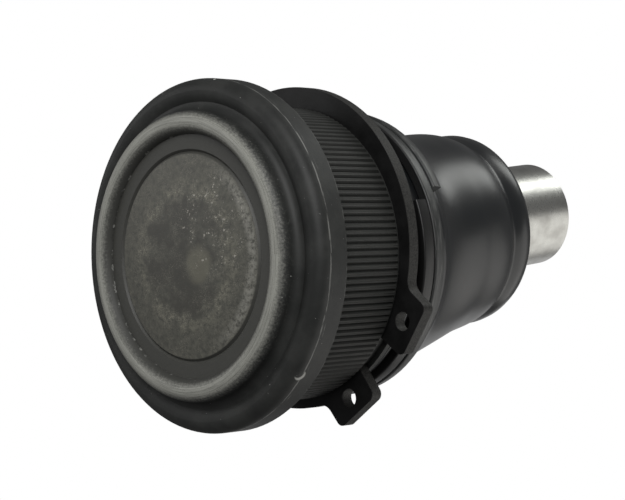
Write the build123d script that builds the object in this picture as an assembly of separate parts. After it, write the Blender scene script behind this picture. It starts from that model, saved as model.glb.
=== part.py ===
from build123d import *
from math import asin, atan2, cos, degrees, radians, sin, sqrt
import os

# Press-in suspension ball joint with a pinch-type stud.
# Millimetres. +Z runs along the housing axis towards the stud, so the joint stands on its crimped
# end. The origin is the centre of the ball, about which the stud swings and spins. The stud, and
# the dust boot's lip with it, stand a few degrees off the housing's axis, as such a joint lies
# when nothing holds it.

# ---- Ball stud -----------------------------------------------------------------------------
ball_radius = 13.0
ball_flat_depth = 0.7  # grease flat ground on the bottom of the ball
stud_neck_radius = 7.2
stud_neck_top = 15.0  # where the neck starts to widen to the shank
stud_neck_fillet = 1.6
seal_land_radius = 9.5  # the dust boot's lip runs on this land
seal_land_start = 24.0
seal_land_top = 44.0
seal_land_bevel = 0.5
shank_radius = 9.0
stud_end = 63.0
stud_chamfer = 1.2
notch_bolt_radius = 5.2  # clearance radius of the M10 pinch bolt
notch_depth = 2.0
notch_height = 48.8
notch_angle = 20.0  # degrees about Z, side of the shank that the bolt crosses
centre_drill_radius = 1.6
centre_drill_depth = 2.4

# ---- Swing ----------------------------------------------------------------------------------
swing_cone = 25.5  # degrees, largest lean of the stud out of the housing axis
swing_clearance = 0.5
lean_x = -5.7  # degrees about X, how the stud leans at rest
lean_y = -2.3  # degrees about the leaned Y

# ---- Bearing --------------------------------------------------------------------------------
running_clearance = 0.05
bearing_wall = 4.15
bearing_split = -1.5  # height of the joint between the two bearing halves
bearing_split_gap = 0.3
bearing_top = 9.2
bearing_floor = 1.15  # thickness of the lower half below the ball
grease_window_radius = 6.0
grease_groove_count = 6
grease_groove_width = 1.4
grease_groove_depth = 0.7
grease_groove_stop = 1.2  # the channels end this far below the mouth of the bearing
bearing_lip = 1.0  # least height of the upper half's mouth chamfer

# ---- Disc spring ----------------------------------------------------------------------------
spring_outer_radius = 15.2
spring_inner_radius = 7.4
spring_thickness = 0.7
spring_height = 1.1  # height as squeezed between the lower bearing and the cover

# ---- End cover ------------------------------------------------------------------------------
cover_radius = 19.6
cover_thickness = 2.3
cover_dome_radius = 15.4
cover_dome_height = 1.1
cover_crease_depth = 0.35
cover_crease_width = 0.7
cover_dish_margin = 1.2  # the dish inside is this much smaller than the dome outside

# ---- Housing --------------------------------------------------------------------------------
crimp_bead_radius = 1.8
crimp_bead_centre = 20.1
crimp_bead_rise = 0.3  # height of the bead's centre above the cover's face
cove_radius = 1.3
flange_radius = 26.8
flange_round = 1.9
flange_band_bottom = -14.45
cove_depth = 0.5  # how far the cove is sunk behind the flange's rounded front
flange_top = -10.7
flange_top_break = 0.3
knurl_length = 15.0
knurl_crest_radius = 23.0
knurl_depth = 0.42
knurl_teeth = 140
knurl_crest_share = 0.42  # share of the pitch that is left as crest land
knurl_lead_in = 0.6
groove_radius = 21.75
groove_slack = 0.1
upper_land = 1.2
boot_seat_radius = 19.0
boot_seat_fillet = 0.8
housing_rim = 15.0
rim_bead_radius = 19.6
rim_bead_height = 0.9

# ---- Snap ring ------------------------------------------------------------------------------
ring_thickness = 2.0
ring_radial_slack = 0.06
ring_outer_radius = 25.55
ring_eccentricity = 1.34
ring_gap_angle = -136.0  # degrees about Z, middle of the gap
ring_gap_half_angle = 8.7
lug_outer_radius = 28.8
lug_gap_corner_radius = 27.6  # where the straight crown meets the lug's side at the gap
lug_half_angle = 27.0  # from the middle of the gap to the lug's far outer corner
lug_shoulder_angle = 6.0
lug_root_overlap = 1.0  # how far the lug's shoulder reaches into the band
lug_corner_fillet = 1.2
lug_root_fillet = 2.2  # hollow between the band's edge and the lug's shoulder
lug_hole_radius = 1.45
lug_hole_margin = 3.7  # from the lug's crown to the middle of its hole
lug_hole_angle = 19.3

# ---- Dust boot ------------------------------------------------------------------------------
boot_clearance = 0.12  # between the rubber and what it grips
boot_wall = 1.7
boot_base_radius = 21.2
boot_foot_radius = 22.0
boot_foot_height = 1.6
boot_shoulder_radius = 20.4
boot_shoulder_height = 17.0
boot_shoulder_rise = 1.0
boot_waist_radius = 18.3
boot_waist_height = 29.0
boot_neck_radius = 15.9
boot_neck_height = 37.6
boot_lip_radius = 16.3
boot_lip_bottom = 38.8
boot_lip_top = 43.4
boot_lip_bevel = 0.9
boot_stations = 7  # sections that the bent wall is lofted through

# ---- Boot clamp ring ------------------------------------------------------------------------
clamp_wire_width = 1.4
clamp_wire_height = 1.9
clamp_pitch = 1.97
clamp_turns = 1.9
clamp_start_angle = 155.0  # degrees about Z of the wire's upper end
clamp_edge_round = 0.3
clamp_side_gap = 0.15

# ---- Lip insert -----------------------------------------------------------------------------
insert_thickness = 1.0
insert_inner_radius = 11.0
insert_flange_radius = 13.9
insert_height = 3.2


def half_turned(points_and_arcs):
    """Revolves a closed half-section, given as edges in the XZ plane, into a solid."""
    outline = Wire(points_and_arcs)
    return revolve(Face(outline), Axis.Z)


def at(radius, height):
    """Point of a half-section."""
    return Vector(radius, 0, height)


def chain(*points):
    """Straight edges from point to point."""
    return [Line(start, end).edge() for start, end in zip(points, points[1:])]


def arc(start, through, end):
    return ThreePointArc(start, through, end).edge()


def cap_arc(radius, base, height):
    """Half-section of a shallow spherical cap that hangs below its base, from axis to base."""
    sphere = (radius**2 + height**2) / (2 * height)
    half_turn = asin(radius / sphere) / 2
    centre = base - height + sphere
    middle = at(sphere * sin(half_turn), centre - sphere * cos(half_turn))
    return arc(at(0, base - height), middle, at(radius, base))


def on_circle(radius, angle, centre_radius=0.0, centre_height=0.0):
    """Point of a half-section on a circle, at an angle in degrees above the radial direction."""
    turn = radians(angle)
    return at(centre_radius + radius * cos(turn), centre_height + radius * sin(turn))


def swung(radius, height, clearance):
    """Where a point of the stud's outline comes to when the stud leans by the swing cone."""
    lean = radians(swing_cone)
    return at(
        radius * cos(lean) + height * sin(lean) + clearance,
        height * cos(lean) - radius * sin(lean),
    )


def leaned(shape, share=1.0):
    """Turns a shape about the ball's centre by a share of the stud's lean."""
    return Rot(lean_x * share, 0, 0) * Rot(0, lean_y * share, 0) * shape


# ---- Sizes that follow from the driving ones ------------------------------------------------
socket_radius = ball_radius + running_clearance
cavity_radius = socket_radius + bearing_wall
neck_start = sqrt(ball_radius**2 - stud_neck_radius**2)
neck_foot_radius = (stud_neck_radius + stud_neck_fillet) * ball_radius / (ball_radius + stud_neck_fillet)
neck_foot = sqrt(ball_radius**2 - neck_foot_radius**2)
mouth_low = swung(neck_foot_radius, neck_foot, swing_clearance)
mouth_knee = swung(stud_neck_radius, stud_neck_top, swing_clearance)
mouth_high = swung(seal_land_radius, seal_land_start, swing_clearance)
bearing_bottom = -socket_radius - bearing_floor
cover_inner_face = bearing_bottom - spring_height
cover_outer_face = cover_inner_face - cover_thickness
bead_centre_height = cover_outer_face + crimp_bead_rise
lip_outer_radius = crimp_bead_centre + crimp_bead_radius
knurl_top = flange_top + knurl_length
groove_bottom = knurl_top + groove_slack
ring_bottom = groove_bottom + groove_slack
ring_top = ring_bottom + ring_thickness
groove_top = ring_top + groove_slack
land_top = groove_top + upper_land
ring_inner_radius = groove_radius + ring_radial_slack
boot_bottom = land_top + boot_clearance
clamp_bottom = boot_bottom + boot_foot_height + clamp_side_gap
clamp_inner_radius = boot_base_radius + clamp_side_gap


def mouth_radius(height):
    """Radius of the opening that the leaning stud needs at a height of the housing."""
    if height < mouth_knee.Z:
        low, high = mouth_low, mouth_knee
    else:
        low, high = mouth_knee, mouth_high
    return low.X + (height - low.Z) * (high.X - low.X) / (high.Z - low.Z)


# ---- Ball stud ------------------------------------------------------------------------------
def make_ball_stud():
    flat_height = -ball_radius + ball_flat_depth
    flat_radius = sqrt(ball_radius**2 - flat_height**2)
    section = chain(at(0, flat_height), at(flat_radius, flat_height))
    section.append(arc(at(flat_radius, flat_height), at(ball_radius, 0), at(stud_neck_radius, neck_start)))
    section += chain(
        at(stud_neck_radius, neck_start),
        at(stud_neck_radius, stud_neck_top),
        at(seal_land_radius, seal_land_start),
        at(seal_land_radius, seal_land_top),
        at(shank_radius, seal_land_top + seal_land_bevel),
        at(shank_radius, stud_end - stud_chamfer),
        at(shank_radius - stud_chamfer, stud_end),
        at(centre_drill_radius, stud_end),
        at(0, stud_end - centre_drill_depth),
        at(0, flat_height),
    )
    stud = half_turned(section)
    neck_edges = stud.edges().filter_by(GeomType.CIRCLE)
    neck_root = [e for e in neck_edges if abs(e.center().Z - neck_start) < 1e-3]
    stud = fillet(neck_root, stud_neck_fillet)
    notch_axis_offset = shank_radius - notch_depth + notch_bolt_radius
    notch = Pos(notch_axis_offset, 0, notch_height) * Rot(90, 0, 0) * Cylinder(
        notch_bolt_radius, 4 * shank_radius
    )
    return leaned(stud - Rot(0, 0, notch_angle) * notch)


# ---- Bearing --------------------------------------------------------------------------------
def grease_grooves():
    """Thin blades around the axis that cut channels into the ball seat."""
    cutters = []
    for index in range(grease_groove_count):
        turn = 360.0 * index / grease_groove_count
        disc = Rot(0, 0, turn) * Rot(90, 0, 0) * Cylinder(
            socket_radius + grease_groove_depth, grease_groove_width
        )
        cutters.append(disc)
    return cutters


def make_upper_bearing():
    seat_low = bearing_split + bearing_split_gap / 2
    inner_low = at(sqrt(socket_radius**2 - seat_low**2), seat_low)
    outer_top = at(sqrt(cavity_radius**2 - bearing_top**2), bearing_top)
    mouth_edge_height = min(mouth_low.Z, bearing_top - bearing_lip)
    inner_top = at(sqrt(socket_radius**2 - mouth_edge_height**2), mouth_edge_height)
    seat_middle = on_circle(socket_radius, degrees(asin(mouth_edge_height / socket_radius)) / 2)
    back_middle = on_circle(cavity_radius, degrees(asin(bearing_top / cavity_radius)) / 2)
    section = [arc(inner_low, seat_middle, inner_top)]
    section += chain(inner_top, at(mouth_radius(bearing_top), bearing_top), outer_top)
    section.append(arc(outer_top, back_middle, at(cavity_radius, 0)))
    section += chain(at(cavity_radius, 0), at(cavity_radius, seat_low), inner_low)
    bearing = half_turned(section)
    channel_top = mouth_edge_height - grease_groove_stop
    below = Pos(0, 0, channel_top) * Cylinder(
        2 * cavity_radius, 4 * cavity_radius, align=(Align.CENTER, Align.CENTER, Align.MAX)
    )
    for groove in grease_grooves():
        bearing -= groove & below
    return bearing


def make_lower_bearing():
    seat_high = bearing_split - bearing_split_gap / 2
    window_seat = -sqrt(socket_radius**2 - grease_window_radius**2)
    inner_high = at(sqrt(socket_radius**2 - seat_high**2), seat_high)
    inner_low = at(grease_window_radius, window_seat)
    section = [arc(inner_high, on_circle(socket_radius, -35), inner_low)]
    section += chain(
        inner_low,
        at(grease_window_radius, bearing_bottom),
        at(cavity_radius, bearing_bottom),
        at(cavity_radius, seat_high),
        inner_high,
    )
    bearing = half_turned(section)
    for groove in grease_grooves():
        bearing -= groove
    return bearing


# ---- Disc spring ----------------------------------------------------------------------------
def make_disc_spring():
    rise = spring_height - spring_thickness
    low = cover_inner_face
    return half_turned(
        chain(
            at(spring_outer_radius, low),
            at(spring_outer_radius, low + spring_thickness),
            at(spring_inner_radius, low + spring_thickness + rise),
            at(spring_inner_radius, low + rise),
            at(spring_outer_radius, low),
        )
    )


# ---- End cover ------------------------------------------------------------------------------
def make_end_cover():
    face = cover_outer_face
    inner = cover_inner_face
    crease_outer = cover_dome_radius + cover_crease_width
    dish_radius = cover_dome_radius - cover_dish_margin
    section = [cap_arc(cover_dome_radius, face, cover_dome_height)]
    section += chain(
        at(cover_dome_radius, face),
        at(cover_dome_radius + cover_crease_width / 2, face + cover_crease_depth),
        at(crease_outer, face),
        at(cover_radius, face),
        at(cover_radius, inner),
        at(dish_radius, inner),
    )
    section.append(cap_arc(dish_radius, inner, cover_dome_height))
    section += chain(at(0, inner - cover_dome_height), at(0, face - cover_dome_height))
    return half_turned(section)


# ---- Housing --------------------------------------------------------------------------------
def make_knurl():
    """Straight-knurled band: crest lands on one true cylinder, V-shaped valleys between them."""
    pitch = 360.0 / knurl_teeth
    land = pitch * knurl_crest_share
    root_radius = knurl_crest_radius - knurl_depth

    def rim(radius, angle):
        return Vector(radius * cos(radians(angle)), radius * sin(radians(angle)))

    edges = []
    for tooth in range(knurl_teeth):
        start = tooth * pitch
        end = start + land
        valley = (end + start + pitch) / 2
        edges.append(
            arc(rim(knurl_crest_radius, start), rim(knurl_crest_radius, (start + end) / 2),
                rim(knurl_crest_radius, end))
        )
        edges += chain(
            rim(knurl_crest_radius, end),
            rim(root_radius, valley),
            rim(knurl_crest_radius, start + pitch),
        )
    teeth = Pos(0, 0, flange_top) * extrude(Face(Wire(edges)), knurl_length)
    lead_start = knurl_top - knurl_lead_in
    envelope = half_turned(
        chain(
            at(0, flange_top),
            at(knurl_crest_radius + knurl_lead_in, flange_top),
            at(knurl_crest_radius + knurl_lead_in, lead_start - knurl_lead_in),
            at(knurl_crest_radius - knurl_lead_in, knurl_top),
            at(0, knurl_top),
            at(0, flange_top),
        )
    )
    return teeth & envelope


def housing_outside():
    """Solid of the housing's turned outside, without the knurl."""
    root_radius = knurl_crest_radius - knurl_depth
    bead_inner = crimp_bead_centre - sqrt(crimp_bead_radius**2 - crimp_bead_rise**2)
    bead_low = at(crimp_bead_centre, bead_centre_height - crimp_bead_radius)
    lip_side = at(lip_outer_radius, bead_centre_height)
    round_centre = flange_radius - flange_round
    valley_radius = lip_outer_radius + cove_radius
    valley_height = flange_band_bottom - flange_round + cove_depth
    cove_start = at(lip_outer_radius, valley_height - cove_radius)
    valley = at(valley_radius, valley_height)
    cove_middle = on_circle(cove_radius, 135, valley_radius, valley_height - cove_radius)
    flange_low = on_circle(flange_round, -90, round_centre, flange_band_bottom)
    front_width = round_centre - valley_radius
    front_round = (front_width**2 + cove_depth**2) / (2 * cove_depth)
    front_angle = -90 - degrees(asin(front_width / front_round)) / 2
    front_middle = on_circle(front_round, front_angle, round_centre, flange_low.Z + front_round)
    flange_side = at(flange_radius, flange_band_bottom)
    rim_start = housing_rim - rim_bead_height

    section = chain(at(0, cover_outer_face), at(bead_inner, cover_outer_face))
    section.append(arc(at(bead_inner, cover_outer_face), bead_low, lip_side))
    section += chain(lip_side, cove_start)
    section.append(arc(cove_start, cove_middle, valley))
    section.append(arc(valley, front_middle, flange_low))
    section.append(
        arc(flange_low, on_circle(flange_round, -45, round_centre, flange_band_bottom), flange_side)
    )
    section += chain(
        flange_side,
        at(flange_radius, flange_top - flange_top_break),
        at(flange_radius - flange_top_break, flange_top),
        at(root_radius, flange_top),
        at(root_radius, groove_bottom - groove_slack),
        at(root_radius, groove_bottom),
        at(groove_radius, groove_bottom),
        at(groove_radius, groove_top),
        at(root_radius, groove_top),
        at(root_radius, land_top - flange_top_break),
        at(root_radius - flange_top_break, land_top),
        at(boot_seat_radius, land_top),
        at(boot_seat_radius, rim_start),
        at(rim_bead_radius, rim_start + rim_bead_height / 3),
        at(rim_bead_radius, housing_rim - rim_bead_height / 3),
        at(rim_bead_radius - rim_bead_height / 3, housing_rim),
        at(0, housing_rim),
        at(0, cover_outer_face),
    )
    return half_turned(section)


def housing_inside():
    """Everything that is hollow in the housing: cover recess, bearing bore, seat and mouth."""
    seat_top = at(sqrt(cavity_radius**2 - bearing_top**2), bearing_top)
    back_middle = on_circle(cavity_radius, degrees(asin(bearing_top / cavity_radius)) / 2)
    above_rim = housing_rim + rim_bead_height
    section = chain(
        at(0, cover_outer_face),
        at(cover_radius, cover_outer_face),
        at(cover_radius, cover_inner_face),
        at(cavity_radius, cover_inner_face),
        at(cavity_radius, 0),
    )
    section.append(arc(at(cavity_radius, 0), back_middle, seat_top))
    section += chain(
        seat_top,
        at(mouth_radius(bearing_top), bearing_top),
        mouth_knee,
        at(mouth_radius(above_rim), above_rim),
        at(0, above_rim),
        at(0, cover_outer_face),
    )
    return half_turned(section)


def make_housing():
    body = housing_outside() + make_knurl() - housing_inside()
    return body


# ---- Snap ring ------------------------------------------------------------------------------
def polar(radius, angle):
    """Point in plan, at an angle in degrees from the middle of the snap ring's gap."""
    turn = radians(angle)
    return (radius * cos(turn), radius * sin(turn))


def make_lug(side):
    """One lug with its plier hole, on the side of the gap given by +1 or -1."""
    end_angle = ring_gap_half_angle * side
    corner_angle = lug_half_angle * side
    shoulder_angle = (lug_half_angle + lug_shoulder_angle) * side
    tip = Vector(*polar(lug_outer_radius, corner_angle))
    outline = Polyline(
        tip,
        polar(ring_inner_radius + lug_root_overlap, shoulder_angle),
        polar(ring_inner_radius, end_angle),
        polar(lug_gap_corner_radius, end_angle),
        close=True,
    )
    lug = make_face(outline)
    outer_corners = [v for v in lug.vertices() if Vector(v.X, v.Y).length > lug_gap_corner_radius - 0.1]
    lug = fillet(outer_corners, lug_corner_fillet)
    hole = Pos(*polar(lug_outer_radius - lug_hole_margin, lug_hole_angle * side)) * Circle(lug_hole_radius)
    return lug, hole


def make_snap_ring():
    band = Pos(-ring_eccentricity, 0) * Circle(ring_outer_radius)
    half_gap = [
        (0, 0),
        polar(2 * lug_outer_radius, ring_gap_half_angle),
        polar(2 * lug_outer_radius, -ring_gap_half_angle),
    ]
    gap = make_face(Polyline(*half_gap, close=True))
    plan = band
    holes = []
    for side in (1, -1):
        lug, hole = make_lug(side)
        plan += lug
        holes.append(hole)
    roots = [
        v
        for v in plan.vertices()
        if lug_half_angle < abs(degrees(atan2(v.Y, v.X))) < lug_half_angle + lug_shoulder_angle + 1
        and Vector(v.X, v.Y).length < lug_gap_corner_radius - lug_corner_fillet
    ]
    plan = fillet(roots, lug_root_fillet)
    plan -= Circle(ring_inner_radius)
    plan -= gap
    for hole in holes:
        plan -= hole
    return Pos(0, 0, ring_bottom) * Rot(0, 0, ring_gap_angle) * extrude(plan, ring_thickness)


# ---- Dust boot ------------------------------------------------------------------------------
def make_lip_insert():
    low = boot_lip_bottom
    leg_radius = insert_inner_radius + insert_thickness
    section = chain(
        at(insert_inner_radius, low),
        at(insert_flange_radius, low),
        at(insert_flange_radius, low + insert_thickness),
        at(leg_radius, low + insert_thickness),
        at(leg_radius, low + insert_height),
        at(insert_inner_radius, low + insert_height),
        at(insert_inner_radius, low),
    )
    return leaned(half_turned(section))


def insert_pocket():
    """Room for the lip insert in the rubber, open towards the inside of the boot."""
    gap = boot_clearance
    low = boot_lip_bottom - insert_thickness
    step = boot_lip_bottom + insert_thickness + gap
    return half_turned(
        chain(
            at(insert_inner_radius - gap, low),
            at(insert_flange_radius + gap, low),
            at(insert_flange_radius + gap, step),
            at(insert_inner_radius + insert_thickness + gap, step),
            at(insert_inner_radius + insert_thickness + gap, boot_lip_bottom + insert_height + gap),
            at(insert_inner_radius - gap, boot_lip_bottom + insert_height + gap),
            at(insert_inner_radius - gap, low),
        )
    )


def boot_radius(height):
    """Outside radius of the boot's wall between shoulder and neck: a parabola through three radii."""
    low, mid, high = boot_shoulder_height, boot_waist_height, boot_neck_height
    return (
        boot_shoulder_radius * (height - mid) * (height - high) / ((low - mid) * (low - high))
        + boot_waist_radius * (height - low) * (height - high) / ((mid - low) * (mid - high))
        + boot_neck_radius * (height - low) * (height - mid) / ((high - low) * (high - mid))
    )


def bent_wall(inset):
    """Solid between shoulder and neck that turns smoothly from the housing's axis to the stud's."""
    sections = []
    for station in range(boot_stations):
        share = station / (boot_stations - 1)
        height = boot_shoulder_height + share * (boot_neck_height - boot_shoulder_height)
        bend = share * share * (3 - 2 * share)
        section = Pos(0, 0, height) * Circle(boot_radius(height) - inset)
        sections.append(leaned(section, bend))
    return loft(sections)


def boot_foot():
    """Turned foot that grips the housing, up to the shoulder, with its hollow still closed."""
    foot_top = boot_bottom + boot_foot_height
    shoulder_start = boot_shoulder_height - boot_shoulder_rise
    return half_turned(
        chain(
            at(0, boot_bottom),
            at(boot_foot_radius, boot_bottom),
            at(boot_foot_radius, foot_top),
            at(boot_base_radius, foot_top),
            at(boot_base_radius, shoulder_start),
            at(boot_shoulder_radius, boot_shoulder_height),
            at(0, boot_shoulder_height),
            at(0, boot_bottom),
        )
    )


def boot_foot_hollow():
    """What the foot fits over: the housing's seat and rim bead, and the way up into the boot."""
    grip = boot_seat_radius + boot_clearance
    rim_grip = rim_bead_radius + boot_clearance
    rim_low = housing_rim - rim_bead_height - boot_clearance
    rim_high = housing_rim + boot_clearance
    throat = boot_shoulder_radius - boot_wall
    return half_turned(
        chain(
            at(0, boot_bottom),
            at(grip, boot_bottom),
            at(grip, rim_low),
            at(rim_grip, rim_low),
            at(rim_grip, rim_high),
            at(throat, rim_high),
            at(throat, boot_shoulder_height),
            at(0, boot_shoulder_height),
            at(0, boot_bottom),
        )
    )


def boot_lip():
    """Turned sealing lip on the stud's axis, with its bore and the insert's pocket."""
    bore = seal_land_radius + boot_clearance
    lip = half_turned(
        chain(
            at(bore, boot_lip_bottom),
            at(boot_neck_radius - boot_wall, boot_lip_bottom),
            at(boot_neck_radius - boot_wall, boot_neck_height),
            at(boot_neck_radius, boot_neck_height),
            at(boot_lip_radius, boot_lip_bottom),
            at(boot_lip_radius, boot_lip_top - boot_lip_bevel),
            at(boot_lip_radius - boot_lip_bevel, boot_lip_top),
            at(bore, boot_lip_top),
            at(bore, boot_lip_bottom),
        )
    )
    return leaned(lip - insert_pocket())


def make_dust_boot():
    outside = boot_foot() + bent_wall(0)
    shell = outside - boot_foot_hollow() - bent_wall(boot_wall)
    return shell + boot_lip()


# ---- Boot clamp ring ------------------------------------------------------------------------
def make_clamp_ring():
    wire_radius = clamp_inner_radius + clamp_wire_width / 2
    coil_height = clamp_pitch * clamp_turns
    path = Pos(0, 0, clamp_bottom + clamp_wire_height / 2) * Helix(clamp_pitch, coil_height, wire_radius)
    edge = path.edge()
    profile_plane = Plane(origin=edge @ 0, x_dir=(1, 0, 0), z_dir=edge % 0)
    profile = profile_plane * RectangleRounded(clamp_wire_width, clamp_wire_height, clamp_edge_round)
    coil = sweep(profile, path=edge, is_frenet=True)
    top_end_angle = 360.0 * clamp_turns
    return Rot(0, 0, clamp_start_angle - top_end_angle) * coil


PIECES = {
    "housing": make_housing,
    "end_cover": make_end_cover,
    "upper_bearing": make_upper_bearing,
    "lower_bearing": make_lower_bearing,
    "disc_spring": make_disc_spring,
    "ball_stud": make_ball_stud,
    "snap_ring": make_snap_ring,
    "dust_boot": make_dust_boot,
    "boot_clamp_ring": make_clamp_ring,
    "boot_lip_insert": make_lip_insert,
}

os.makedirs("parts", exist_ok=True)
for name, make in PIECES.items():
    export_step(make(), os.path.join("parts", name + ".step"))
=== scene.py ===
from math import cos, exp, pi, radians, sin

import bpy
from mathutils import Matrix, Vector


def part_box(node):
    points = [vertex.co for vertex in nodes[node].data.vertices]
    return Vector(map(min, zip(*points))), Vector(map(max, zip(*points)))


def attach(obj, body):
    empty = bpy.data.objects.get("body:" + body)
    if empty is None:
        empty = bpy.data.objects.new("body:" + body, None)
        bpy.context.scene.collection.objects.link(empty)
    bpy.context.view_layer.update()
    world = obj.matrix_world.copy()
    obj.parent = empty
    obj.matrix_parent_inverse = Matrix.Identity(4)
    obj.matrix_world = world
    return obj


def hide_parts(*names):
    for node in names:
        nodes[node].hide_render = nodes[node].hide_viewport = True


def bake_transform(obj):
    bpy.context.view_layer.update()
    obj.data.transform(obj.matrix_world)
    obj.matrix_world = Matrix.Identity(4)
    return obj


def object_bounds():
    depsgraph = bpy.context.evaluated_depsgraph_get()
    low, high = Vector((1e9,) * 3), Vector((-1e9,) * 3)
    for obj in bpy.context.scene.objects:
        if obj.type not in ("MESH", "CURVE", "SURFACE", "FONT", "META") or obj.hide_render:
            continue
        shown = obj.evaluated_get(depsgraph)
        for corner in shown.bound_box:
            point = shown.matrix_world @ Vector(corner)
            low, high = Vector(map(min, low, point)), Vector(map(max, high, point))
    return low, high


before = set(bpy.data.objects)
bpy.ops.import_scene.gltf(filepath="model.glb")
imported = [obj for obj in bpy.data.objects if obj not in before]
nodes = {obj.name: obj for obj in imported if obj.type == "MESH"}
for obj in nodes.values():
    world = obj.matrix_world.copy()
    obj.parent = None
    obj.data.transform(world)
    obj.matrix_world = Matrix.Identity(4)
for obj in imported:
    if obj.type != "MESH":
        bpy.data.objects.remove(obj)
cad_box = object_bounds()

# ---- Studio ---------------------------------------------------------------------------------
# A white product tent, seen from the joint's cover end: a large fill above the lens, a softbox
# overhead and the table's glow below it on the right, a strip on the left and a box behind. The
# surround is even white, and the table under the cover shows from above only.
lens_place = Vector((-0.19510, 0.0, -0.18330))
lens_right = Vector((-0.70078, -0.02472, 0.71295))
lens_up = Vector((-0.01874, 0.99969, 0.01625))
lens_ahead = Vector((0.71314, 0.00197, 0.70102))
camera = bpy.data.objects.new("camera", bpy.data.cameras.new("camera"))
camera.data.sensor_width = 36.0
camera.data.lens = 98.2
turned = Matrix((lens_right, lens_up, -lens_ahead)).transposed()
camera.matrix_world = Matrix.Translation(lens_place) @ turned.to_4x4()
camera.data.clip_start, camera.data.clip_end = 0.01, 20.0
bpy.context.scene.collection.objects.link(camera)
bpy.context.scene.camera = camera
lit_point = Vector((0.0, 0.0, 0.010))


def softbox(name, place, size, watts, colour=(1.0, 1.0, 1.0)):
    lamp = bpy.data.lights.new(name, "AREA")
    lamp.shape = "RECTANGLE"
    lamp.size, lamp.size_y = size
    lamp.energy, lamp.color = watts, colour
    light = bpy.data.objects.new(name, lamp)
    light.location = place
    light.rotation_euler = (lit_point - Vector(place)).to_track_quat("-Z", "Y").to_euler()
    light.visible_camera = False
    bpy.context.scene.collection.objects.link(light)


softbox("overhead_box", (-0.12, 0.34, 0.36), (0.15, 0.30), 0.50, (0.98, 1.0, 0.97))
softbox("table_glow", (-0.22, -0.22, 0.28), (0.50, 0.42), 0.74, (1.0, 0.985, 0.95))
softbox("front_fill", (-0.36, 0.36, -0.40), (0.45, 0.35), 3.0)
softbox("left_strip", (0.42, 0.16, -0.36), (0.20, 0.40), 0.42)
softbox("upright_box", (0.45, -0.30, 0.60), (0.45, 0.45), 0.30)

tent = bpy.data.worlds.new("tent")
tent.use_nodes = True
bpy.context.scene.world = tent
links, make = tent.node_tree.links, tent.node_tree.nodes.new
surround = tent.node_tree.nodes["Background"]
surround.inputs["Color"].default_value = (1.0, 1.0, 1.0, 1.0)
surround.inputs["Strength"].default_value = 0.15
backing = make("ShaderNodeBackground")
backing.inputs["Color"].default_value = (1.0, 1.0, 1.0, 1.0)
backing.inputs["Strength"].default_value = 1.0
seen, either = make("ShaderNodeLightPath"), make("ShaderNodeMixShader")
links.new(seen.outputs["Is Camera Ray"], either.inputs["Fac"])
links.new(surround.outputs["Background"], either.inputs[1])
links.new(backing.outputs["Background"], either.inputs[2])
links.new(either.outputs["Shader"], tent.node_tree.nodes["World Output"].inputs["Surface"])
bpy.context.scene.view_settings.view_transform = "Standard"

table_height, table_reach = cad_box[0].z - 0.0002, 3
corners = [(-1, -1), (1, -1), (1, 1), (-1, 1)]
table_mesh = bpy.data.meshes.new("table")
places = [(x * table_reach, y * table_reach, table_height) for x, y in corners]
table_mesh.from_pydata(places, [], [(0, 1, 2, 3)])
table = bpy.data.objects.new("table", table_mesh)
bpy.context.scene.collection.objects.link(table)
table_finish = bpy.data.materials.new("table_top")
table_finish.use_nodes = True
table_paint = table_finish.node_tree.nodes["Principled BSDF"]
table_paint.inputs["Base Color"].default_value = (0.86, 0.86, 0.85, 1)
table_paint.inputs["Roughness"].default_value = 0.9
links, make = table_finish.node_tree.links, table_finish.node_tree.nodes.new
side, glass = make("ShaderNodeNewGeometry"), make("ShaderNodeBsdfTransparent")
either = make("ShaderNodeMixShader")
links.new(side.outputs["Backfacing"], either.inputs["Fac"])
links.new(table_paint.outputs["BSDF"], either.inputs[1])
links.new(glass.outputs["BSDF"], either.inputs[2])
links.new(either.outputs["Shader"], table_finish.node_tree.nodes["Material Output"].inputs["Surface"])
table_mesh.materials.append(table_finish)
table.visible_shadow = table.visible_diffuse = table.visible_glossy = False


# ---- Housing --------------------------------------------------------------------------------
# Cold-forged steel cup, turned and blackened. The knurl is rolled on; the flange's edge and the
# lip that is rolled over the cover have lost some of their black in handling.
class Level:
    """A number that varies over a surface."""

    def __init__(self, finish, socket):
        self.finish, self.socket = finish, socket

    def sums(self, operation, *terms):
        return self.finish.node("ShaderNodeMath", {"operation": operation}, terms)

    def __add__(self, other):
        return self.sums("ADD", self, other)

    def __sub__(self, other):
        return self.sums("SUBTRACT", self, other)

    def __rsub__(self, other):
        return self.sums("SUBTRACT", other, self)

    def __mul__(self, other):
        return self.sums("MULTIPLY", self, other)

    def __pow__(self, other):
        return self.sums("POWER", self, other)

    __radd__ = __add__

    def most(self, other):
        return self.sums("MAXIMUM", self, other)

    def rise(self, low, high):
        """0 up to low, 1 from high on, smooth between; with low above high it falls."""
        settings = {"interpolation_type": "SMOOTHSTEP"}
        return self.finish.node("ShaderNodeMapRange", settings, {0: self, 1: low, 2: high})

    def band(self, low, high, soft):
        """1 between low and high, 0 outside."""
        return self.rise(low - soft, low + soft) * self.rise(high + soft, high - soft)


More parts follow.
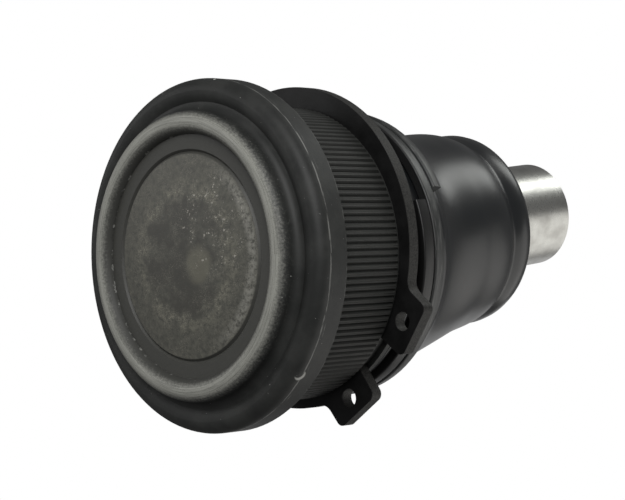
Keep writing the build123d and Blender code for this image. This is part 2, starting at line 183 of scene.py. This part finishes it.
class Finish:
    """A material under construction, with its shader and the place on the piece in millimetres."""

    def __init__(self, name, colour, roughness, metallic=0.0, **shader):
        self.material = bpy.data.materials.new(name)
        self.material.use_nodes = True
        self.material.diffuse_color = (*colour, 1.0)
        self.tree = self.material.node_tree
        self.shader = self.tree.nodes["Principled BSDF"]
        self.set("Base Color", (*colour, 1.0))
        self.set("Roughness", roughness)
        self.set("Metallic", metallic)
        for socket, value in shader.items():
            self.set(socket.replace("_", " "), value)
        place = self.node("ShaderNodeTexCoord", out="Object")
        self.place = self.node("ShaderNodeVectorMath", {"operation": "SCALE"}, {0: place, "Scale": 1000.0})
        self.x, self.y, self.z = (
            self.node("ShaderNodeSeparateXYZ", {}, {0: self.place}, out) for out in range(3))
        self.radius = (self.x * self.x + self.y * self.y) ** 0.5
        self.turn = self.node("ShaderNodeMath", {"operation": "ARCTAN2"}, {0: self.y, 1: self.x})

    def set(self, socket, value):
        if isinstance(value, Level):
            self.tree.links.new(value.socket, self.shader.inputs[socket])
        else:
            self.shader.inputs[socket].default_value = value

    def node(self, kind, settings={}, inputs={}, out=0):
        node = self.tree.nodes.new(kind)
        for key, value in settings.items():
            setattr(node, key, value)
        for key, value in (inputs.items() if isinstance(inputs, dict) else enumerate(inputs)):
            if isinstance(value, Level):
                self.tree.links.new(value.socket, node.inputs[key])
            else:
                node.inputs[key].default_value = value
        return Level(self, node.outputs[out])

    def noise(self, size, detail=2.0, rough=0.5, place=None):
        """Cloudy noise from 0 to 1 whose patches are about size millimetres across."""
        inputs = {"Vector": place or self.place, "Scale": 1.0 / size, "Detail": detail, "Roughness": rough}
        return self.node("ShaderNodeTexNoise", {}, inputs)

    def point(self, x, y, z):
        return self.node("ShaderNodeCombineXYZ", {}, (x, y, z))

    def mix(self, share, first, second):
        """First colour where share is 0, second where it is 1."""
        inputs = {0: share, 6: first if isinstance(first, Level) else (*first, 1.0),
                  7: second if isinstance(second, Level) else (*second, 1.0)}
        return self.node("ShaderNodeMix", {"data_type": "RGBA"}, inputs, 2)

    def bumps(self, height, depth, distance=0.001):
        """Relief whose full height is depth millimetres."""
        relief = {"Height": height * depth, "Distance": distance, "Strength": 1.0}
        self.set("Normal", self.node("ShaderNodeBump", {}, relief))

    def near(self, x, y, z, size):
        """1 within size millimetres of a point, 0 further off."""
        away = self.node("ShaderNodeVectorMath", {"operation": "DISTANCE"}, {0: self.place, 1: (x, y, z)}, 1)
        return away.rise(size * 1.15, size * 0.85)

    def onto(self, *pieces):
        for piece in pieces:
            slots = piece.data.materials
            for index in range(len(slots)):
                slots[index] = self.material
            if not len(slots):
                slots.append(self.material)


rubbed_steel, bare_steel = (0.39, 0.39, 0.35), (0.46, 0.46, 0.43)
rub_inner, rub_outer, lip_corner = 19.25, 21.3, 18.3  # radii on the rolled lip, in millimetres
knurl_low, knurl_high, knurl_outer = -10.6, 4.4, 24.0  # heights, and a radius just outside it
teeth = 140
black = Finish("black_steel", (0.026, 0.027, 0.026), 0.5, Specular_IOR_Level=0.38)
grain = black.noise(0.35, 3.0, 0.6)
fleck = black.noise(0.15, 2.0, 0.7)
cloud = black.noise(6.0, 4.0, 0.6)
front = black.z.rise(-15.8, -16.6)
tone = black.mix(cloud.rise(0.38, 0.66), (0.018, 0.019, 0.018), (0.032, 0.033, 0.031))
ragged = grain * 1.4 - 0.7
lip_band = (black.radius + ragged * 0.8).band(rub_inner, rub_outer, 0.62) * front
lip_grain = black.noise(1.0, 4.0, 0.7, black.point(black.turn * 2.5, black.radius * 5.0, black.z * 2.0))
lip_rub = lip_band * (fleck.rise(0.30, 0.50) * 0.30 + lip_grain.rise(0.30, 0.62) * 0.45 + 0.25)
inner_band = (black.radius + ragged * 0.4).band(lip_corner, 19.2, 0.15) * front
lip_edge = (black.radius + ragged * 0.3).band(lip_corner - 0.05, lip_corner + 0.06, 0.05) * front
lip_edge = lip_edge * black.noise(1.1).rise(0.56, 0.64) * 0.5
swirl = black.noise(1.0, 3.0, 0.6, black.point(black.turn * 9.0, black.radius * 4.0, black.z * 4.0))
edge_line = (black.z + swirl * 0.5 - 0.25).band(-14.34, -14.12, 0.06) * swirl.rise(0.40, 0.54)
second_line = (black.z + swirl * 0.7 - 0.35).band(-13.6, -13.55, 0.04) * swirl.rise(0.54, 0.60)
rear_line = (black.z - grain * 0.2).band(-11.2, -11.02, 0.05) * black.noise(2.2).rise(0.48, 0.60)
edge_wear = (edge_line * 0.9).most(second_line * 0.7).most(rear_line * 0.35) * black.radius.rise(23.8, 24.4)
nick = black.near(-20.3, -17.35, -14.55, 0.85) * (1 - black.near(-20.55, -17.0, -14.95, 0.85))
nick = nick.most(black.near(-4.2, 26.3, -15.2, 0.22))
phase = black.node("ShaderNodeMath", {"operation": "FRACT"}, [black.turn * (teeth / (2 * pi))])
knurled = black.z.band(knurl_low, knurl_high, 0.05) * black.radius.rise(knurl_outer, 23.6)
dot = black.noise(0.30, 1.0, 0.4).rise(0.80, 0.82) * (1 - knurled)
# The knurl's crest edges are painted lighter: partly worn edges, partly a painted highlight.
crest_wear_and_highlight = phase.band(0.00, 0.10, 0.03).most(phase.band(0.32, 0.42, 0.03)) * knurled
furrow_and_fill_light = phase.band(0.15, 0.27, 0.05) * knurled
scuff = black.noise(1.6, 3.0, 0.6, black.point(black.x, black.y, black.z * 0.4)).rise(0.42, 0.64)
colour = black.mix(knurled, tone, (0.027, 0.028, 0.026))
colour = black.mix(crest_wear_and_highlight * (scuff * 0.7 + 0.1), colour, (0.055, 0.055, 0.051))
# Painted fill light: the grooves along the knurl's crests are painted lighter than the crests.
colour = black.mix(furrow_and_fill_light * 0.6, colour, (0.036, 0.036, 0.034))
colour = black.mix(inner_band * 0.8, colour, (0.060, 0.060, 0.054))
colour = black.mix(lip_rub * 0.92, colour, rubbed_steel)
colour = black.mix(edge_wear, colour, (0.20, 0.20, 0.19))
colour = black.mix(lip_edge.most(nick).most(dot), colour, bare_steel)
black.set("Base Color", colour)
black.set("Roughness", 0.46 + cloud * 0.10 + grain * 0.10 - lip_band * 0.04 + knurled * 0.08)
black.bumps(grain * 0.7 + fleck * 0.4 + lip_rub * 0.4 - furrow_and_fill_light * 2.0 - dot, 0.020)
black.onto(nodes["housing"])

# ---- End cover ------------------------------------------------------------------------------
# Pressed steel disc with a shallow dome that closes the cup. Its face is warm grey from drawing
# grease that dried on it, speckled with pale dust, with a stained ring and a stained spot.
cover = Finish("cover_steel", (0.060, 0.057, 0.050), 0.55)
dust = cover.noise(0.17, 2.0, 0.6)
patch = cover.noise(2.6, 5.0, 0.7)
haze = cover.noise(0.8, 4.0, 0.75)
tide = cover.noise(5.0, 3.0, 0.6)
dome = cover.radius.rise(15.55, 15.2)
wander = cover.radius + patch * 4.0 + tide * 3.0 - 3.5
ring_stain = wander.band(9.4, 11.4, 1.3) * haze.rise(0.30, 0.72) * tide.rise(0.36, 0.56)
inner_shade = wander.rise(9.6, 8.0) * tide.rise(0.62, 0.44)
spot = (((cover.x + 3.4) ** 2.0 + (cover.y + 1.3) ** 2.0) ** 0.5 + patch * 2.4 - 1.2).rise(3.3, 1.7)
speck = dust.rise(0.52, 0.63) * patch.rise(0.42, 0.58) * (ring_stain * 1.1 + 0.30)
scatter = cover.near(-6.5, 4.5, -18.4, 7.0)
chip = cover.noise(0.45, 2.0, 0.5).rise(0.61, 0.68) * patch.rise(0.46, 0.58) * scatter
# Painted highlight: a lighter band on one side of the dome's rim, where light falls on it.
rim_highlight = cover.radius.band(13.6, 15.1, 0.6) * cover.x.rise(-4.0, -13.0) * haze.rise(0.34, 0.6)
face = cover.mix(haze.rise(0.22, 0.80), (0.058, 0.058, 0.050), (0.130, 0.127, 0.105))
face = cover.mix(dome, cover.mix(haze, (0.040, 0.041, 0.036), (0.062, 0.061, 0.054)), face)
face = cover.mix(ring_stain * dome * 0.75, face, (0.19, 0.183, 0.143))
face = cover.mix(inner_shade * dome * 0.8, face, (0.056, 0.054, 0.047))
face = cover.mix(spot * 0.6, face, (0.175, 0.168, 0.128))
face = cover.mix(rim_highlight * dome * 0.75, face, (0.28, 0.275, 0.245))
face = cover.mix(speck * dome * 0.85, face, (0.34, 0.32, 0.26))
face = cover.mix(chip * dome, face, (0.44, 0.42, 0.37))
cover.set("Base Color", face)
cover.set("Roughness", 0.42 + haze * 0.22)
cover.bumps(haze + dust * 0.5, 0.030)
cover.onto(nodes["end_cover"])

# ---- Bearing halves and disc spring ---------------------------------------------------------
# Two injection-moulded acetal shells hold the ball between them. A tempered disc spring under
# the cover keeps them tight; only a cut or lifted part shows them.
shell = Finish("bearing_plastic", (0.80, 0.78, 0.71), 0.42)
flow = shell.noise(5.0, 3.0, 0.5)
shell.set("Base Color", shell.mix(flow, (0.76, 0.74, 0.66), (0.83, 0.81, 0.75)))
shell.set("Roughness", 0.36 + shell.noise(0.5) * 0.16)
shell.bumps(shell.noise(0.25, 2.0), 0.006)
shell.onto(nodes["upper_bearing"], nodes["lower_bearing"])

tempered = Finish("spring_steel", (0.20, 0.20, 0.21), 0.35, 0.9)
blue = tempered.noise(4.0, 3.0, 0.6)
tempered.set("Base Color", tempered.mix(blue, (0.16, 0.17, 0.21), (0.30, 0.27, 0.22)))
tempered.set("Roughness", 0.28 + tempered.noise(0.5) * 0.2)
tempered.bumps(tempered.noise(0.3, 2.0), 0.008)
tempered.onto(nodes["disc_spring"])

# ---- Snap ring ------------------------------------------------------------------------------
# External retaining ring stamped from spring steel, with a plier hole in each lug. The faces
# are smooth phosphated black; the sheared edges came out grey and grainy.
ring = Finish("ring_steel", (0.010, 0.010, 0.010), 0.5, Specular_IOR_Level=0.30)
ring_low, ring_high = (corner.z * 1000 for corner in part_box("snap_ring"))
sheared = ring.z.band(ring_low + 0.10, ring_high - 0.10, 0.06)
tear = ring.noise(0.28, 3.0, 0.7)
smear = ring.noise(4.0, 3.0, 0.6)
colour = ring.mix(smear.rise(0.3, 0.7), (0.004, 0.004, 0.004), (0.010, 0.010, 0.010))
colour = ring.mix(sheared, colour, ring.mix(tear.rise(0.3, 0.7), (0.016, 0.016, 0.015), (0.055, 0.054, 0.051)))
ring.set("Base Color", colour)
ring.set("Roughness", 0.40 + tear * 0.2 + sheared * 0.08)
ring.set("Metallic", sheared * 0.35)
ring.bumps(tear * (0.2 + sheared * 0.8), 0.05)
ring.onto(nodes["snap_ring"])

# ---- Boot clamp ring ------------------------------------------------------------------------
# Flat spring wire, blackened, wound nearly twice round the foot of the boot, where it holds the
# rubber in the housing's groove by its own tension. Its outer face is rubbed bright here and
# there, and its lower turn is painted darker as shade.
wire_turns, wire_rise, wire_start = 1.985, 0.0047, radians(160.0)
wire_radius, wire_width, wire_height, wire_edge_round = 0.02215, 0.0016, 0.0023, 0.00030
wire = Finish("clamp_steel", (0.030, 0.031, 0.031), 0.40)
streak = wire.noise(1.0, 3.0, 0.6, wire.point(wire.turn * 6.0, wire.radius * 3.0, wire.z * 3.0))
wire_rub = wire.radius.rise(22.78, 22.92) * streak.rise(0.50, 0.66)
wire_tone = wire.mix(streak, (0.018, 0.020, 0.020), (0.036, 0.037, 0.036))
wire_tone = wire.mix(wire_rub * 0.5, wire_tone, (0.15, 0.15, 0.145))
# Painted shade: the wire's lower turn is painted near black.
wire.set("Base Color", wire.mix(wire.z.rise(12.6, 11.9), wire_tone, (0.007, 0.007, 0.007)))
wire.set("Roughness", 0.30 + streak * 0.22)
wire.bumps(wire.noise(0.4, 2.0), 0.012)

winding = bpy.data.node_groups.new("clamp_winding", "GeometryNodeTree")
for name, value in (("Turns", wire_turns), ("Wire radius", wire_radius), ("Rise", wire_rise),
                    ("Wire width", wire_width), ("Wire height", wire_height), ("Edge round", wire_edge_round)):
    winding.interface.new_socket(name, in_out="INPUT", socket_type="NodeSocketFloat").default_value = value
winding.interface.new_socket("Wire finish", in_out="INPUT", socket_type="NodeSocketMaterial")
winding.interface.new_socket("Geometry", in_out="OUTPUT", socket_type="NodeSocketGeometry")


def put(tree, kind, inputs={}, settings={}):
    """Adds a node; an input is a value, or a pair of a node and its output."""
    node = tree.nodes.new(kind)
    for key, value in settings.items():
        setattr(node, key, value)
    for key, value in inputs.items():
        if isinstance(value, tuple) and hasattr(value[0], "outputs"):
            tree.links.new(value[0].outputs[value[1]], node.inputs[key])
        else:
            node.inputs[key].default_value = value
    return node


given = put(winding, "NodeGroupInput")
helix = put(winding, "GeometryNodeCurveSpiral", {
    "Resolution": 96, "Rotations": (given, "Turns"), "Start Radius": (given, "Wire radius"),
    "End Radius": (given, "Wire radius"), "Height": (given, "Rise"), "Reverse": True})
section = put(winding, "GeometryNodeCurvePrimitiveQuadrilateral", {
    "Width": (given, "Wire width"), "Height": (given, "Wire height")})
softened = put(winding, "GeometryNodeFilletCurve", {
    "Curve": (section, "Curve"), "Radius": (given, "Edge round"), "Count": 4}, {"mode": "POLY"})
swept = put(winding, "GeometryNodeCurveToMesh", {
    "Curve": (helix, "Curve"), "Profile Curve": (softened, "Curve"), "Fill Caps": True})
smooth = put(winding, "GeometryNodeSetShadeSmooth", {"Geometry": (swept, "Mesh"), "Shade Smooth": True})
whole = put(winding, "GeometryNodeRealizeInstances", {"Geometry": (smooth, "Geometry")})
finished = put(winding, "GeometryNodeSetMaterial", {
    "Geometry": (whole, "Geometry"), "Material": (given, "Wire finish")})
put(winding, "NodeGroupOutput", {"Geometry": (finished, "Geometry")})


def grown(name, tree, **values):
    """Runs a Geometry Nodes tree and keeps its result as a plain mesh object."""
    seed = bpy.data.objects.new(name + "_seed", bpy.data.meshes.new(name + "_seed"))
    bpy.context.scene.collection.objects.link(seed)
    modifier = seed.modifiers.new("grow", "NODES")
    modifier.node_group = tree
    for item in tree.interface.items_tree:
        if item.item_type == "SOCKET" and item.in_out == "INPUT" and item.name.replace(" ", "_") in values:
            modifier[item.identifier] = values[item.name.replace(" ", "_")]
    grown_mesh = bpy.data.meshes.new_from_object(seed.evaluated_get(bpy.context.evaluated_depsgraph_get()))
    bpy.data.objects.remove(seed)
    piece = bpy.data.objects.new(name, grown_mesh)
    grown_mesh.name = name
    bpy.context.scene.collection.objects.link(piece)
    return piece


clamp_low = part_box("boot_clamp_ring")[0]
clamp = grown("boot_clamp_wire", winding, Wire_finish=wire.material)
clamp_place = Matrix.Translation((0, 0, clamp_low.z + wire_height / 2))
clamp.data.transform(clamp_place @ Matrix.Rotation(wire_start, 4, "Z"))
wire.onto(nodes["boot_clamp_ring"])
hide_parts("boot_clamp_ring")
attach(clamp, "housing")

# ---- Dust boot ------------------------------------------------------------------------------
# Moulded chloroprene rubber, glossy: a thick foot under the clamp ring, a wall that takes up the
# stud's lean at rest, and a rounded sealing lip on the stud's land. Its skin is in two walls that
# meet at a hidden seam.
rubber = Finish("boot_rubber", (0.010, 0.011, 0.012), 0.30, Specular_IOR_Level=0.55)
bloom = rubber.noise(9.0, 3.0, 0.55)
mould = rubber.noise(0.5, 2.0, 0.5)
lint = rubber.noise(0.30, 1.0, 0.5).rise(0.76, 0.79) * bloom.rise(0.45, 0.6)
skin = rubber.mix(bloom, (0.007, 0.009, 0.011), (0.016, 0.016, 0.016))
rubber.set("Base Color", rubber.mix(lint * 0.5, skin, (0.10, 0.10, 0.10)))
rubber.set("Roughness", 0.25 + bloom * 0.08 + mould * 0.03)
rubber.bumps(mould * 0.25 + bloom * 0.8, 0.004)

# From here the boot is in millimetres until its points are made.
lean_x, lean_y = radians(-5.7), radians(-2.3)  # the stud's lean at rest
bend_low, bend_high = 17.0, 37.6  # heights between which the wall takes up the lean
seam, margin_out, margin_in = 27.3, 0.1, 0.2  # no point of a wall's path lies nearer to the seam
outside = [  # radius and height of the outer wall, foot to lip
    (19.12, 8.2), (21.6, 8.2), (22.0, 8.6), (22.0, 9.25), (21.2, 9.75), (21.2, 12.0), (21.2, 16.4),
    (21.05, 17.1), (20.5, 17.9), (20.0, 18.9), (19.5, 20.5), (18.95, 22.5), (18.45, 24.6),
    (17.98, 27.0), (17.56, 29.4), (17.26, 31.2), (17.03, 33.0), (16.82, 34.8), (16.58, 36.4),
    (16.28, 37.7), (15.95, 38.45), (15.85, 38.8), (15.95, 39.2), (16.25, 40.0), (16.35, 41.0),
    (16.30, 42.0), (16.05, 42.8), (15.6, 43.25), (15.0, 43.4), (12.5, 43.4), (9.8, 43.4),
    (9.62, 43.2)]
inside = [  # the same for the inner wall, foot to bore
    (19.12, 14.0), (19.75, 14.2), (19.75, 15.1), (18.95, 15.9), (18.90, 17.0), (18.35, 22.0), (17.30, 27.3),
    (16.75, 30.0), (16.15, 33.0), (15.2, 37.2), (13.9, 38.8), (9.62, 38.8)]


def smooth_path(points, step):
    """Points about step apart on a smooth line through the given ones."""
    path = []
    for i, (start, end) in enumerate(zip(points, points[1:])):
        before, after = points[max(i - 1, 0)], points[min(i + 2, len(points) - 1)]
        count = max(1, round((Vector(end) - Vector(start)).length / step))
        for k in range(count):
            t = k / count
            path.append(tuple(
                0.5 * (2 * b + (c - a) * t + (2 * a - 5 * b + 4 * c - d) * t * t
                       + (3 * b - a - 3 * c + d) * t ** 3)
                for a, b, c, d in zip(before, start, end, after)))
    return path + [points[-1]]


def bell(height, peak, spread):
    """1 at the peak's height, fading to 0 some spreads off it."""
    return exp(-((height - peak) / spread) ** 2)


def ring_of(radius, height, count=160):
    """One ring of the boot, turned by its share of the stud's lean.

    The lean makes the wall sag out at -Y, draws it in at +Y and swells it along X, most at +X.
    The bore that holds the stud stays round.
    """
    share = min(max((height - bend_low) / (bend_high - bend_low), 0.0), 1.0)
    share = share * share * (3 - 2 * share)
    turn = Matrix.Rotation(lean_x * share, 4, "X") @ Matrix.Rotation(lean_y * share, 4, "Y")
    points = []
    for k in range(count):
        across, up = cos(2 * pi * k / count), sin(2 * pi * k / count)
        sag = 0.8 * max(-up, 0) * bell(height, 38.0, 6.0)
        draw = 0.7 * max(up, 0) * bell(height, 40.5, 5.5)
        swell = (1.65 + 0.85 * across) * across ** 2 * bell(height, 28.5, 6.5 - 1.5 * across)
        off_bore = min(max((radius - 11.5) / 3.0, 0.0), 1.0)
        bulged = radius + (sag - draw + swell) * off_bore
        points.append(turn @ Vector((bulged * across, bulged * up, height)) * 0.001)
    return points


def lathed(name, path, split):
    """Closed skin through rings; the path runs up outside and comes back down inside.

    The rings whose places along the path are in split get sharp edges.
    """
    rings = [ring_of(*point) for point in path]
    count = len(rings[0])
    points = [p for one in rings for p in one]
    faces = []
    for i in range(len(rings)):
        here, there = i * count, (i + 1) % len(rings) * count
        faces += [(here + k, here + (k + 1) % count, there + (k + 1) % count, there + k) for k in range(count)]
    mesh = bpy.data.meshes.new(name)
    mesh.from_pydata(points, [], faces)
    mesh.polygons.foreach_set("use_smooth", [True] * len(mesh.polygons))
    mesh.materials.append(rubber.material)
    for edge in mesh.edges:
        edge.use_edge_sharp = all(index // count in split for index in edge.vertices)
    piece = bpy.data.objects.new(name, mesh)
    bpy.context.scene.collection.objects.link(piece)
    return piece


def at_height(path, height):
    """Radius of a wall at a height."""
    for (r0, z0), (r1, z1) in zip(path, path[1:]):
        if min(z0, z1) <= height <= max(z0, z1) and z0 != z1:
            return r0 + (r1 - r0) * (height - z0) / (z1 - z0)


outer_path = smooth_path(outside, step=0.7)
seam_out, seam_in = at_height(outer_path, seam), at_height(inside, seam)
low_out = [p for p in outer_path if p[1] < seam - margin_out] + [(seam_out, seam)]
high_out = [(seam_out, seam)] + [p for p in outer_path if p[1] > seam + margin_out]
low_in = [(seam_in, seam)] + [p for p in reversed(inside) if p[1] < seam - margin_in]
high_in = [p for p in reversed(inside) if p[1] > seam + margin_in] + [(seam_in, seam)]
boot_low = lathed("boot_lower_wall", low_out + low_in, (len(low_out) - 1, len(low_out)))
boot_high = lathed("boot_upper_wall", high_out + high_in, (0, len(high_out + high_in) - 1))
for piece in (boot_low, boot_high):
    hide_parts("dust_boot")
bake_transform(boot_low)
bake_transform(boot_high)

# ---- Ball stud ------------------------------------------------------------------------------
# Forged steel, turned between centres and ground on its shank, with a notch for the pinch bolt
# and a polished ball. The shank is left bright.
bright = Finish("stud_steel", (0.56, 0.56, 0.54), 0.24, 1.0)
marks = bright.noise(1.0, 3.0, 0.6, bright.point(bright.turn * 2.0, bright.radius * 6.0, bright.z * 9.0))
smudge = bright.noise(3.0, 4.0, 0.6)
bright.set("Base Color", bright.mix(smudge.rise(0.35, 0.75), (0.54, 0.54, 0.515), (0.41, 0.405, 0.385)))
bright.set("Roughness", 0.17 + marks * 0.16 + smudge * 0.10)
bright.bumps(marks, 0.006)
bright.onto(nodes["ball_stud"])

# ---- Boot lip insert ------------------------------------------------------------------------
# Pressed steel ring moulded into the boot's lip, so that the rubber keeps its grip on the stud.
insert = Finish("insert_steel", (0.33, 0.33, 0.34), 0.40, 0.9)
dull = insert.noise(1.5, 3.0, 0.6)
insert.set("Base Color", insert.mix(dull, (0.28, 0.28, 0.29), (0.40, 0.40, 0.40)))
insert.set("Roughness", 0.32 + dull * 0.2)
insert.bumps(insert.noise(0.3, 2.0), 0.010)
insert.onto(nodes["boot_lip_insert"])
